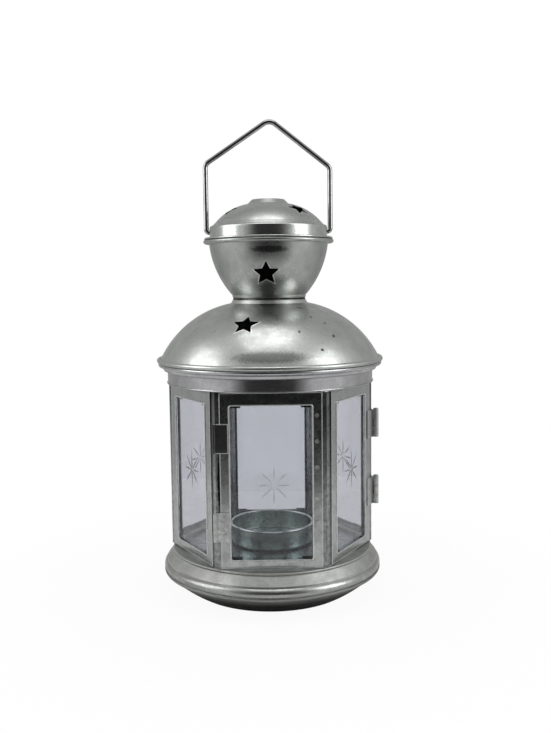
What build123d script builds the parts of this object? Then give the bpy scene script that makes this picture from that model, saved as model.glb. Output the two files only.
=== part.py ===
from build123d import *
import os
from math import cos, radians, sin, sqrt, tan

# A six-sided tin lantern for one tealight. The lantern stands on the table at z = 0 with its axis on Z.
# One window faces -Y. Azimuths are degrees from +X, counter-clockwise seen from above.

os.makedirs("parts", exist_ok=True)

# Materials
sheet = 0.6                    # rolled and pressed sheet steel
thin_sheet = 0.5               # cup, lid, hinge leaves
glass = 1.8

# Base: a rolled pan under a stepped plinth
base_overhang = 3.38           # base past the cabin's corners, over the rolled edge
foot_inset = 15.7              # flat foot inside that edge
base_roll = 1.0                # radius of the rolled edge
base_roll_height = 11.6        # centre of the rolled edge above the table
base_roll_flat_share = 0.8     # how far up the roll the plinth sits, as a share of its radius
pan_curve_radius = 70.0
base_height = 23.3             # top of the plinth, where the posts stand
shelf_reach = 7.06             # shelf inside the cabin's faces
floor_inset = 3.56             # floor plate inside the cabin's faces
# Outline of the plinth: shares of base_radius and of the plinth's own height
plinth_bead_shares = ((0.9940, 0.0), (0.9975, 0.21), (0.9734, 0.385))
plinth_slope_shares = ((0.9700, 0.477), (0.9090, 0.86))
plinth_rim_shares = ((0.9090, 0.89), (0.9165, 0.945), (0.9075, 1.0))
plinth_inner_shares = ((0.8970, 0.84), (0.9600, 0.42), (0.9780, 0.28), (0.9840, 0.0))

# Cabin: six windows between corner posts
cabin_height = 88.2            # plinth to the underside of the top band
cabin_apothem = 47.56          # outer face of the window frames
frame_bottom_gap = 1.0         # plinth to the lower edge of every frame
fixed_frame_top_gap = 0.3      # top band to the upper edge of a fixed frame
door_top_gap = 0.6             # top band to the upper edge of the door
window_bottom_rail = 3.7
window_top_gap = 6.5           # top band to the upper edge of every window opening
wide_corner_gap = 2.66         # front and rear frames: cabin corner to the frame's side edge
wide_stile_width = 4.5
side_corner_gap = 4.56         # the four slanting frames
side_stile_width = 5.3
opening_corner_radius = 1.3
post_lap_width = 2.0           # a post reaches this far behind a fixed frame
door_lap_width = 3.5           # the door's own post reaches this far behind its front frame
door_slit_width = 1.15         # visible leg of the post beside the door's free edge
door_stop_lap = 0.7            # that post's stop strip reaches this far behind the door
door_stop_setback = 0.3        # gap between the stop strip and the closed door
hinge_post_gap = 0.4

# Panes and the tabs that hold them
pane_side_lap = 0.8
pane_end_lap = 2.0
tab_width = 5.3
tab_inset = 0.3                # tab to the side of the window opening
tab_show = 1.5                 # how far a tab reaches past the opening's edge
tab_seat = 0.2                 # pane edge to tab root
tab_root = 0.8
star_groove = 0.25             # depth of the star cut in a pane
star_hub = 1.0                 # radius at which neighbouring rays meet
upright_ray_length = 9.9
level_ray_length = 8.6
slanting_ray_length = 9.6
star_shift = 1.2               # how far some cut stars lie off the middle of their pane
left_front_star_rise = 2.2

# Top band and roof
band_inset = 0.52              # band inside the cabin's corners
band_height = 6.7
band_hem = 0.45                # radius of the hem rolled on the band's lower edge
band_flange_reach = 3.06       # flange inside the cabin's faces
eave_height = 4.3              # moulded ring between band and roof
eave_overhang = 5.5            # tip of the roof's rolled edge past the band
eave_roll = 1.25
eave_roll_flat_share = 0.85
eave_upper_shares = ((0.9750, 1.0), (0.9880, 0.80), (0.9730, 0.52))
eave_lower_shares = ((0.9520, 0.37), (0.9470, 0.26), (0.9390, 0.06), (0.9240, 0.0))
eave_inner_shares = (
    (0.8985, 0.14),
    (0.9130, 0.14),
    (0.9380, 0.40),
    (0.9630, 0.62),
    (0.9650, 0.86),
    (0.9400, 0.86),
)
roof_height = 32.9             # top of the moulded ring to the neck seam
dome_radius = 52.5             # radius of the dome's arc
dome_foot_inset = 3.9          # where the dome turns out, inside that tip
dome_foot_height = 5.3         # above the moulded ring
neck_radius = 19.0
neck_upstand = 2.3             # steep foot of the neck
neck_flare = 1.3               # how far that foot widens downward

# Chimney bowl and lid
bowl_height = 29.8             # neck seam to the middle of the rim roll
bowl_curve_radius = 48.5
collar_flare = 0.45            # collar's top past the neck
collar_height = 1.3
bowl_foot_flare = 0.5          # foot of the round wall past the neck
bowl_top_inset = 3.0           # top of the round wall inside the rim's tip
rim_overhang = 3.4             # rim's tip past the lid
rim_roll = 1.1
rim_flat_share = 0.82
lid_radius = 30.9
lid_band_height = 6.0
lid_flange = 2.3               # foot of the lid on the bowl's rim
lid_hem = 0.6                  # radius of the hem rolled on that foot
lid_shoulder = 1.4             # rounded edge over the band
lid_dome_inset = 3.0           # foot of the dome inside the band
lid_dome_foot_rise = 1.6
lid_dome_radius = 28.5
lid_disc_radius = 8.6
lid_disc_slope = 2.3
lid_dome_rise = 9.65
lid_disc_rise = 2.25

# Punched five-pointed stars: azimuth of the first of three, place on the shell, tip radius
star_inner_share = 0.49
roof_star_azimuth = -106.4
roof_star_share = 0.70         # distance from the axis, as a share of the roof edge's radius
roof_star_tip = 6.8
bowl_star_azimuth = -92.9
bowl_star_drop = 16.75         # star centre below the rim roll
bowl_star_tip = 6.75
lid_star_azimuth = -41.5
lid_star_share = 0.667         # distance from the axis, as a share of the lid's radius
lid_star_tip = 5.9
punch_depth = 3.0              # how far the star punch is taken through the sheet, each way
skin_spline_steps = 12         # parts into which a domed skin's spline divides its arc

# Bail
wire = 1.3                     # wire radius
bail_leg_gap = 0.4             # leg to the lid's band
bail_pivot_rise = 4.2          # pivot above the lid's foot
bail_left_shoulder = 35.3      # shoulder corners above the pivot
bail_right_shoulder = 33.1
bail_apex = 57.85
bail_apex_shift = 1.3          # the apex is bent a little to the right
bail_shoulder_bend = 3.9
bail_apex_bend = 5.0
bail_foot_bend = 1.6
bail_stub = 5.2                # leg centre to the wire's end inside the lid
bail_hole_clearance = 0.1

# Tealight cup
cup_radius = 21.9              # outside of the wall
cup_height = 11.2
cup_corner = 1.2
cup_roll = 0.6                 # radius of the lip, rolled outward from the wall's inner face
cup_step_radius = 13.4         # the middle of the bottom is pressed down onto the floor plate
cup_step_rise = 0.6
rivet_shank = 1.4
rivet_head = 2.4
rivet_head_height = 0.45

# Door: clinches, clips and hinges. Their heights are shares of the door's own height.
door_side_azimuth = -30.0
clinch_radius = 0.8
clinch_head = 1.1
clinch_rise = 0.35
clinch_inset = 2.5             # clinch to the frame's side edge
clinch_shares = (0.871, 0.724, 0.577, 0.399, 0.261)
clip_length = 14.2
clip_inner_reach = 3.9         # clip on the frame, from the frame's free edge
clip_outer_reach = 2.9         # clip past the frame's free edge
clip_roll = 0.9
clip_shares = (0.745, 0.238)
clip_rivet_spread_share = 0.3
hinge_length = 14.8
hinge_shares = (0.733, 0.311)
barrel_radius = 1.5
pin_radius = 0.95
pin_running = 0.05
pin_head = 1.3
pin_head_height = 0.4
knuckle_gap = 0.25
leaf_reach = 8.5

# Radii worked out from the sizes above
cabin_corner = cabin_apothem / cos(radians(30))
cabin_half_side = cabin_apothem * tan(radians(30))
base_radius = cabin_corner + base_overhang
foot_radius = base_radius - foot_inset
shelf_inner_radius = cabin_apothem - shelf_reach
floor_radius = cabin_apothem - floor_inset
wide_frame_half = cabin_half_side - wide_corner_gap
wide_opening_half = wide_frame_half - wide_stile_width
side_frame_half = cabin_half_side - side_corner_gap
side_opening_half = side_frame_half - side_stile_width
post_apothem = cabin_apothem - sheet
post_half_side = post_apothem * tan(radians(30))
pane_apothem = cabin_apothem - sheet
band_radius = cabin_corner - band_inset
band_flange_inner = cabin_apothem - band_flange_reach
eave_radius = band_radius + eave_overhang
dome_foot_radius = eave_radius - dome_foot_inset
rim_radius = lid_radius + rim_overhang
bail_leg = lid_radius + bail_leg_gap + wire
hinge_x = (cabin_apothem + barrel_radius) / cos(radians(30))

# Levels worked out from the sizes above
plinth_z = base_roll_height + base_roll * base_roll_flat_share
plinth_height = base_height - plinth_z
floor_z = base_height
cup_z = floor_z + sheet
frame_z = base_height + frame_bottom_gap
opening_z = frame_z + window_bottom_rail
band_z = base_height + cabin_height
window_top_z = band_z - window_top_gap
door_top = band_z - door_top_gap
door_height = door_top - frame_z
eave_z = band_z + band_height
roof_z = eave_z + eave_height
neck_z = roof_z + roof_height
rim_z = neck_z + bowl_height
lid_z = rim_z + rim_roll * rim_flat_share
pivot_z = lid_z + bail_pivot_rise


def face_plane(azimuth, distance):
    """A plane facing outward at one azimuth: local X runs counter-clockwise, local Y is up."""
    turn = radians(azimuth)
    outward = (cos(turn), sin(turn), 0)
    origin = (distance * cos(turn), distance * sin(turn), 0)
    return Plane(origin=origin, x_dir=(-sin(turn), cos(turn), 0), z_dir=outward)


def skin_plane(azimuth, radius, height, out_share, up_share):
    """A plane touching a turned shell, with the shares of its normal that point outward and up."""
    turn = radians(azimuth)
    normal = (out_share * cos(turn), out_share * sin(turn), up_share)
    origin = (radius * cos(turn), radius * sin(turn), height)
    return Plane(origin=origin, x_dir=(-sin(turn), cos(turn), 0), z_dir=normal)


def arc_centre(start, end, radius):
    """Centre of a bulging arc that runs down from start to end, on the side of the axis."""
    mid_r, mid_z = (start[0] + end[0]) / 2, (start[1] + end[1]) / 2
    run, drop = end[0] - start[0], end[1] - start[1]
    chord = sqrt(run**2 + drop**2)
    back = sqrt(radius**2 - (chord / 2) ** 2)
    return mid_r + drop / chord * back, mid_z - run / chord * back


def retrace(edges):
    """Draw the edges again, with each arc whose circle crosses the axis as a spline along it.

    A skin spun from such an arc is not cut or joined properly.
    """
    for edge in edges:
        if edge.geom_type == GeomType.CIRCLE and edge.radius > edge.arc_center.X:
            Spline(*[edge @ (k / skin_spline_steps) for k in range(skin_spline_steps + 1)])
        else:
            add(edge)


def scaled(shares, radius, low, height):
    """Outline points from shares of a radius and of a height above a level."""
    return [(radius * r, low + height * h) for r, h in shares]


def star_points(tip_radius):
    """The ten points of an upright five-pointed star."""
    reach = (tip_radius, tip_radius * star_inner_share)
    return [
        (-reach[k % 2] * sin(radians(36 * k)), reach[k % 2] * cos(radians(36 * k)))
        for k in range(10)
    ]


def write(node, label):
    """Label a finished piece and write its file."""
    node.part.label = label
    export_step(node.part, f"parts/{label}.step")


# Base pan: flat foot, curved flank, rolled edge
roll_r = base_radius - base_roll
with BuildPart() as base_pan:
    with BuildSketch(Plane.XZ):
        with BuildLine(mode=Mode.PRIVATE) as wall:
            Line((0, 0), (foot_radius, 0))
            RadiusArc((foot_radius, 0), (roll_r, base_roll_height - base_roll / 2), -pan_curve_radius)
            offset(amount=sheet, side=Side.LEFT, closed=True)
        with BuildLine():
            retrace(wall.edges())
        make_face()
    revolve(axis=Axis.Z)
    with BuildSketch(Plane.XZ):
        with Locations((roll_r, base_roll_height)):
            Circle(base_roll)
        with Locations((roll_r, plinth_z)):
            Rectangle(
                base_roll * 4, base_roll * 2, align=(Align.CENTER, Align.MIN), mode=Mode.SUBTRACT
            )
    revolve(axis=Axis.Z)
write(base_pan, "base_pan")

# Base plinth: stepped ring with a flat shelf on top
plinth_bead = scaled(plinth_bead_shares, base_radius, plinth_z, plinth_height)
plinth_slope = scaled(plinth_slope_shares, base_radius, plinth_z, plinth_height)
plinth_rim = scaled(plinth_rim_shares, base_radius, plinth_z, plinth_height)
plinth_inner = scaled(plinth_inner_shares, base_radius, plinth_z, plinth_height)
with BuildPart() as base_plinth:
    with BuildSketch(Plane.XZ):
        with BuildLine():
            ThreePointArc(*plinth_bead)
            Polyline(plinth_bead[-1], *plinth_slope, plinth_rim[0])
            ThreePointArc(*plinth_rim)
            Polyline(
                plinth_rim[-1],
                (shelf_inner_radius, base_height),
                (shelf_inner_radius, base_height - sheet),
                (plinth_inner[0][0], base_height - sheet),
                *plinth_inner,
                plinth_bead[0],
            )
        make_face()
    revolve(axis=Axis.Z)
write(base_plinth, "base_plinth")

# Floor plate on the shelf, with the hole for the cup's rivet
with BuildPart() as floor_plate:
    with BuildSketch(Plane.XY.offset(floor_z)):
        Circle(floor_radius)
        Circle(rivet_shank, mode=Mode.SUBTRACT)
    extrude(amount=sheet)
write(floor_plate, "floor_plate")

# Tealight cup: pressed bottom, upright wall, rolled lip
cup_seat_z = cup_z + cup_step_rise
with BuildPart() as cup:
    with BuildSketch(Plane.XZ):
        with BuildLine():
            Polyline(
                (rivet_shank, cup_z),
                (cup_step_radius - cup_step_rise, cup_z),
                (cup_step_radius, cup_seat_z),
                (cup_radius - cup_corner, cup_seat_z),
            )
            RadiusArc(
                (cup_radius - cup_corner, cup_seat_z),
                (cup_radius, cup_seat_z + cup_corner),
                -cup_corner,
            )
            Line((cup_radius, cup_seat_z + cup_corner), (cup_radius, cup_z + cup_height - cup_roll))
            offset(amount=thin_sheet, side=Side.LEFT, closed=True)
        make_face()
        with Locations((cup_radius - thin_sheet + cup_roll, cup_z + cup_height - cup_roll)):
            Circle(cup_roll)
    revolve(axis=Axis.Z)
write(cup, "cup")

# Rivet that holds the cup on the floor plate
cup_rivet_top = cup_z + thin_sheet
with BuildPart() as cup_rivet:
    with BuildSketch(Plane.XY.offset(floor_z - rivet_head_height)):
        Circle(rivet_head)
    extrude(amount=rivet_head_height)
    with BuildSketch(Plane.XY.offset(floor_z)):
        Circle(rivet_shank)
    extrude(amount=cup_rivet_top - floor_z)
    with BuildSketch(Plane.XY.offset(cup_rivet_top)):
        Circle(rivet_head)
    extrude(amount=rivet_head_height)
    fillet(cup_rivet.edges().group_by(Axis.Z)[-1], rivet_head_height / 2)
write(cup_rivet, "cup_rivet")


def corner_post(azimuth, clockwise_leg, counter_leg, low, high, holes=(), stop_reach=0):
    """An angle strip behind the frames at one corner of the cabin, with an outer edge on azimuth.

    A post beside the door has a stop strip that goes on from its counter-clockwise leg, set back.
    """
    def corner_point(face, apothem, along):
        turn = radians(face)
        return (
            apothem * cos(turn) - along * sin(turn),
            apothem * sin(turn) + along * cos(turn),
        )

    inner_apothem = post_apothem - sheet
    inner_half_side = inner_apothem * tan(radians(30))
    before, after = azimuth - 30, azimuth + 30
    with BuildPart() as post:
        with BuildSketch(Plane.XY.offset(low)):
            with BuildLine():
                Polyline(
                    corner_point(before, post_apothem, post_half_side - clockwise_leg),
                    corner_point(before, post_apothem, post_half_side),
                    corner_point(after, post_apothem, counter_leg - post_half_side),
                    corner_point(after, inner_apothem, counter_leg - post_half_side),
                    corner_point(before, inner_apothem, inner_half_side),
                    corner_point(before, inner_apothem, post_half_side - clockwise_leg),
                    close=True,
                )
            make_face()
            if stop_reach:
                start, stop_apothem = counter_leg - sheet, post_apothem - door_stop_setback
                stop_outline = (
                    (stop_apothem, start),
                    (stop_apothem, counter_leg + stop_reach),
                    (stop_apothem - sheet, counter_leg + stop_reach),
                    (stop_apothem - sheet, start),
                )
                with BuildLine():
                    Polyline(
                        *[corner_point(after, a, leg - post_half_side) for a, leg in stop_outline],
                        close=True,
                    )
                make_face()
        extrude(amount=high - low)
        if holes:
            with BuildSketch(face_plane(before, post_apothem)):
                with Locations(*holes):
                    Circle(clinch_radius)
            extrude(amount=-sheet, mode=Mode.SUBTRACT)
    return post


def window_frame(azimuth, frame_half, opening_half, top, holes=()):
    """A pressed window frame with four tabs that hold the pane against its inner face."""
    with BuildPart() as frame:
        with BuildSketch(face_plane(azimuth, cabin_apothem)):
            with Locations((0, (frame_z + top) / 2)):
                Rectangle(frame_half * 2, top - frame_z)
            with Locations((0, (opening_z + window_top_z) / 2)):
                RectangleRounded(
                    opening_half * 2, window_top_z - opening_z, opening_corner_radius, mode=Mode.SUBTRACT
                )
            if holes:
                with Locations(*holes):
                    Circle(clinch_radius, mode=Mode.SUBTRACT)
        extrude(amount=-sheet)
        tab_x = opening_half - tab_inset - tab_width / 2
        for edge, out in ((opening_z, -1), (window_top_z, 1)):
            root = edge + out * (pane_end_lap + tab_seat)
            tip = edge - out * tab_show
            with BuildSketch(face_plane(azimuth, pane_apothem)):
                with Locations((-tab_x, root + out * tab_root / 2), (tab_x, root + out * tab_root / 2)):
                    Rectangle(tab_width, tab_root)
            extrude(amount=-glass - thin_sheet)
            leaf_height = abs(root - tip) + tab_root
            leaf_middle = (root + out * tab_root + tip) / 2
            with BuildSketch(face_plane(azimuth, pane_apothem - glass)):
                with Locations((-tab_x, leaf_middle), (tab_x, leaf_middle)):
                    Rectangle(tab_width, leaf_height)
            extrude(amount=-thin_sheet)
    return frame


def ray_points():
    """The sixteen points of a star with eight rays."""
    ray_lengths = [
        upright_ray_length, slanting_ray_length, level_ray_length, slanting_ray_length
    ]
    outline = []
    for k, ray in enumerate(ray_lengths * 2):
        for reach, turn in ((ray, radians(90 + 45 * k)), (star_hub, radians(112.5 + 45 * k))):
            outline.append((reach * cos(turn), reach * sin(turn)))
    return outline


def window_pane(azimuth, opening_half, star_place=None):
    """A glass pane, with a star cut into its outer face if it is given a place for one."""
    low, high = opening_z - pane_end_lap, window_top_z + pane_end_lap
    with BuildPart() as pane:
        with BuildSketch(face_plane(azimuth, pane_apothem)):
            with Locations((0, (low + high) / 2)):
                Rectangle((opening_half + pane_side_lap) * 2, high - low)
        extrude(amount=-glass)
        if star_place:
            with BuildSketch(face_plane(azimuth, pane_apothem)):
                with Locations(star_place):
                    Polygon(*ray_points(), align=None)
            extrude(amount=-star_groove, mode=Mode.SUBTRACT)
    return pane


# Fixed posts: one leg goes behind each neighbouring fixed frame
side_leg = post_half_side - side_frame_half + post_lap_width
wide_leg = post_half_side - wide_frame_half + post_lap_width
hinge_leg = post_half_side - side_frame_half - hinge_post_gap
fixed_posts = {
    "post_front_left": (-120, side_leg, door_slit_width),
    "post_left": (180, side_leg, side_leg),
    "post_rear_left": (120, wide_leg, side_leg),
    "post_rear_right": (60, side_leg, wide_leg),
    "post_hinge": (0, hinge_leg, side_leg),
}
door_stop = post_half_side - door_slit_width - wide_frame_half + door_stop_lap
for name, (azimuth, clockwise_leg, counter_leg) in fixed_posts.items():
    stop_reach = door_stop if name == "post_front_left" else 0
    post = corner_post(
        azimuth, clockwise_leg, counter_leg, base_height, band_z, stop_reach=stop_reach
    )
    write(post, name)

# Fixed windows: azimuth, half widths, and where the star lies; the rear pane is plain
fixed_top = band_z - fixed_frame_top_gap
window_middle = (opening_z + window_top_z) / 2
low_star = window_middle - star_shift
high_star = window_middle + star_shift
left_star = window_middle + left_front_star_rise
fixed_windows = {
    "left_front": (210, side_frame_half, side_opening_half, (0, left_star)),
    "left_rear": (150, side_frame_half, side_opening_half, (-star_shift, low_star)),
    "rear": (90, wide_frame_half, wide_opening_half, None),
    "right_rear": (30, side_frame_half, side_opening_half, (0, low_star)),
}
for name, (azimuth, frame_half, opening_half, star_place) in fixed_windows.items():
    write(window_frame(azimuth, frame_half, opening_half, fixed_top), f"frame_{name}")
    write(window_pane(azimuth, opening_half, star_place), f"pane_{name}")

# Door: front and side windows joined by their own corner post
clinch_x = wide_frame_half - clinch_inset
clinch_holes = [(clinch_x, frame_z + share * door_height) for share in clinch_shares]
clip_centres = [frame_z + share * door_height for share in clip_shares]
clip_x = -wide_frame_half + clip_inner_reach / 2
clip_spread = clip_length * clip_rivet_spread_share
clip_holes = [(clip_x, z + side * clip_spread) for z in clip_centres for side in (-1, 1)]
door_leg = post_half_side - wide_frame_half + door_lap_width
door_post = corner_post(-60, door_leg, side_leg, frame_z, door_top, clinch_holes)
write(door_post, "door_post")
door_frame_front = window_frame(
    -90, wide_frame_half, wide_opening_half, door_top, clinch_holes + clip_holes
)
write(door_frame_front, "door_frame_front")
side_window = window_frame(door_side_azimuth, side_frame_half, side_opening_half, door_top)
write(side_window, "door_frame_side")
front_pane = window_pane(-90, wide_opening_half, (star_shift, low_star))
write(front_pane, "pane_door_front")
side_pane = window_pane(door_side_azimuth, side_opening_half, (star_shift, high_star))
write(side_pane, "pane_door_side")

# Clinches through the front frame and the door's post
with BuildPart() as door_clinches:
    with BuildSketch(face_plane(-90, post_apothem - sheet)):
        with Locations(*clinch_holes):
            Circle(clinch_radius)
    extrude(amount=sheet * 2)
    with BuildSketch(face_plane(-90, cabin_apothem)):
        with Locations(*clinch_holes):
            Circle(clinch_head)
    extrude(amount=clinch_rise)
write(door_clinches, "door_clinches")


def spring_clip(middle):
    """A spring clip on the door's free edge, with its outer end rolled into a finger pull."""
    low = middle - clip_length / 2
    inner_end = clip_inner_reach - wide_frame_half
    outer_end = -wide_frame_half - clip_outer_reach
    holes = [hole for hole in clip_holes if abs(hole[1] - middle) < clip_length / 2]
    with BuildPart() as clip:
        with BuildSketch(Plane.XY.offset(low)):
            with Locations((inner_end, -cabin_apothem)):
                Rectangle(inner_end - outer_end, thin_sheet, align=(Align.MAX, Align.MAX))
            with Locations((outer_end, -cabin_apothem - clip_roll)):
                Circle(clip_roll)
                Circle(clip_roll - thin_sheet, mode=Mode.SUBTRACT)
        extrude(amount=clip_length)
        with BuildSketch(face_plane(-90, cabin_apothem)):
            with Locations(*holes):
                Circle(clinch_radius)
        extrude(amount=thin_sheet, mode=Mode.SUBTRACT)
    return clip


for name, middle in zip(("upper_clip", "lower_clip"), clip_centres):
    write(spring_clip(middle), name)

with BuildPart() as clip_rivets:
    with BuildSketch(face_plane(-90, post_apothem)):
        with Locations(*clip_holes):
            Circle(clinch_radius)
    extrude(amount=sheet + thin_sheet)
    with BuildSketch(face_plane(-90, cabin_apothem + thin_sheet)):
        with Locations(*clip_holes):
            Circle(clinch_head)
    extrude(amount=clinch_rise)
write(clip_rivets, "clip_rivets")


def hinge_leaf(face, spans, low, high, bore):
    """A hinge leaf on one face beside the hinge corner, rolled round the pin over each span."""
    turn = radians(face)
    outward = (cos(turn), sin(turn))
    toward = (-sin(turn), cos(turn)) if face < 0 else (sin(turn), -cos(turn))
    foot = (hinge_x - barrel_radius * outward[0], -barrel_radius * outward[1])

    def on_leaf(along, out):
        return (
            foot[0] - along * toward[0] + out * outward[0],
            foot[1] - along * toward[1] + out * outward[1],
        )

    clear = barrel_radius + knuckle_gap
    with BuildPart() as leaf:
        with BuildSketch(Plane.XY.offset(low)):
            with BuildLine():
                Polyline(
                    on_leaf(clear, 0),
                    on_leaf(leaf_reach, 0),
                    on_leaf(leaf_reach, thin_sheet),
                    on_leaf(clear, thin_sheet),
                    close=True,
                )
            make_face()
        extrude(amount=high - low)
        for start, end in spans:
            with BuildSketch(Plane.XY.offset(start)):
                with BuildLine():
                    Polyline(
                        on_leaf(0, 0),
                        on_leaf(clear, 0),
                        on_leaf(clear, thin_sheet),
                        on_leaf(0, thin_sheet),
                        close=True,
                    )
                make_face()
                with Locations((hinge_x, 0)):
                    Circle(barrel_radius)
                    Circle(bore, mode=Mode.SUBTRACT)
            extrude(amount=end - start)
    return leaf


# Two hinges at the right-hand corner: the door's knuckles are the outer two
knuckle = (hinge_length - knuckle_gap * 2) / 3
hinge_centres = [frame_z + share * door_height for share in hinge_shares]
for name, middle in zip(("upper_hinge", "lower_hinge"), hinge_centres):
    low, high = middle - hinge_length / 2, middle + hinge_length / 2
    door_spans = ((low, low + knuckle), (high - knuckle, high))
    body_spans = ((low + knuckle + knuckle_gap, high - knuckle - knuckle_gap),)
    door_leaf = hinge_leaf(door_side_azimuth, door_spans, low, high, pin_radius + pin_running)
    write(door_leaf, f"{name}_door_leaf")
    body_leaf = hinge_leaf(-door_side_azimuth, body_spans, low, high, pin_radius)
    write(body_leaf, f"{name}_body_leaf")
    with BuildPart() as pin:
        with BuildSketch(Plane.XY.offset(low)):
            with Locations((hinge_x, 0)):
                Circle(pin_radius)
        extrude(amount=hinge_length + knuckle_gap)
        with BuildSketch(Plane.XY.offset(high + knuckle_gap)):
            with Locations((hinge_x, 0)):
                Circle(pin_head)
        extrude(amount=pin_head_height)
    write(pin, f"{name}_pin")

# Top band with an inner flange that the posts carry
with BuildPart() as top_band:
    with BuildSketch(Plane.XZ):
        with BuildLine():
            Polyline(
                (band_radius, band_z),
                (band_radius, eave_z),
                (band_radius - sheet, eave_z),
                (band_radius - sheet, band_z + sheet),
                (band_flange_inner, band_z + sheet),
                (band_flange_inner, band_z),
                close=True,
            )
        make_face()
        with Locations((band_radius, band_z + band_hem)):
            Circle(band_hem)
    revolve(axis=Axis.Z)
write(top_band, "top_band")

# Moulded ring under the roof's edge
eave_upper = scaled(eave_upper_shares, eave_radius, eave_z, eave_height)
eave_lower = scaled(eave_lower_shares, eave_radius, eave_z, eave_height)
eave_inner = scaled(eave_inner_shares, eave_radius, eave_z, eave_height)
with BuildPart() as eave_ring:
    with BuildSketch(Plane.XZ):
        with BuildLine():
            ThreePointArc(*eave_upper)
            Polyline(
                eave_upper[-1],
                *eave_lower,
                (band_radius - sheet, eave_z),
                *eave_inner,
                (eave_inner[-1][0], roof_z),
                eave_upper[0],
            )
        make_face()
    revolve(axis=Axis.Z)
write(eave_ring, "eave_ring")


def star_sketch(azimuth, radius, height, out_share, up_share, tip):
    """Three stars, a third of a turn apart, each lying just outside a turned shell."""
    skins = [
        skin_plane(azimuth + third * 120, radius, height, out_share, up_share) for third in range(3)
    ]
    with BuildSketch(*(skin.offset(punch_depth) for skin in skins)) as stars:
        Polygon(*star_points(tip), align=None)
    return stars.sketch


# Roof: neck upstand, dome, turned-out foot and rolled edge
dome_top = (neck_radius + neck_flare, neck_z - neck_upstand)
dome_foot = (dome_foot_radius, roof_z + dome_foot_height)
dome_centre = arc_centre(dome_top, dome_foot, dome_radius)
edge_r = eave_radius - eave_roll
edge_z = roof_z + eave_roll * eave_roll_flat_share
roof_star_radius = eave_radius * roof_star_share
star_out = roof_star_radius - dome_centre[0]
star_up = sqrt(dome_radius**2 - star_out**2)
roof_stars = star_sketch(
    roof_star_azimuth,
    roof_star_radius,
    dome_centre[1] + star_up,
    star_out / dome_radius,
    star_up / dome_radius,
    roof_star_tip,
)
with BuildPart() as roof:
    with BuildSketch(Plane.XZ):
        with BuildLine(mode=Mode.PRIVATE) as wall:
            Line((neck_radius, neck_z), dome_top)
            RadiusArc(dome_top, dome_foot, dome_radius)
            Line(dome_foot, (edge_r - eave_roll / 2, edge_z + eave_roll / 2))
            offset(amount=sheet, side=Side.RIGHT, closed=True)
        with BuildLine():
            retrace(wall.edges())
        make_face()
        with Locations((edge_r, edge_z)):
            Circle(eave_roll)
        with Locations((edge_r, roof_z)):
            Rectangle(
                eave_roll * 4, eave_roll * 2, align=(Align.CENTER, Align.MAX), mode=Mode.SUBTRACT
            )
    revolve(axis=Axis.Z)
    extrude(roof_stars, amount=-2 * punch_depth, mode=Mode.SUBTRACT)
write(roof, "roof")

# Chimney bowl: collar on the neck, rounded wall, rolled rim
collar_top = (neck_radius + collar_flare, neck_z + collar_height)
bowl_foot = (neck_radius + bowl_foot_flare, collar_top[1] + sheet)
bowl_top = (rim_radius - bowl_top_inset, rim_z - rim_roll)
bowl_centre = arc_centre(bowl_top, bowl_foot, bowl_curve_radius)
rim_r = rim_radius - rim_roll
star_z = rim_z - bowl_star_drop
star_up = star_z - bowl_centre[1]
star_out = sqrt(bowl_curve_radius**2 - star_up**2)
bowl_stars = star_sketch(
    bowl_star_azimuth,
    bowl_centre[0] + star_out,
    star_z,
    star_out / bowl_curve_radius,
    star_up / bowl_curve_radius,
    bowl_star_tip,
)
with BuildPart() as chimney_bowl:
    with BuildSketch(Plane.XZ):
        with BuildLine(mode=Mode.PRIVATE) as wall:
            Polyline((neck_radius, neck_z), collar_top, bowl_foot)
            RadiusArc(bowl_foot, bowl_top, -bowl_curve_radius)
            Line(bowl_top, (rim_r, rim_z - rim_roll / 2))
            offset(amount=thin_sheet, side=Side.LEFT, closed=True)
        with BuildLine():
            retrace(wall.edges())
        make_face()
        with Locations((rim_r, rim_z)):
            Circle(rim_roll)
        with Locations((rim_r, lid_z)):
            Rectangle(rim_roll * 4, rim_roll * 2, align=(Align.CENTER, Align.MIN), mode=Mode.SUBTRACT)
    revolve(axis=Axis.Z)
    extrude(bowl_stars, amount=-2 * punch_depth, mode=Mode.SUBTRACT)
write(chimney_bowl, "chimney_bowl")

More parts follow.
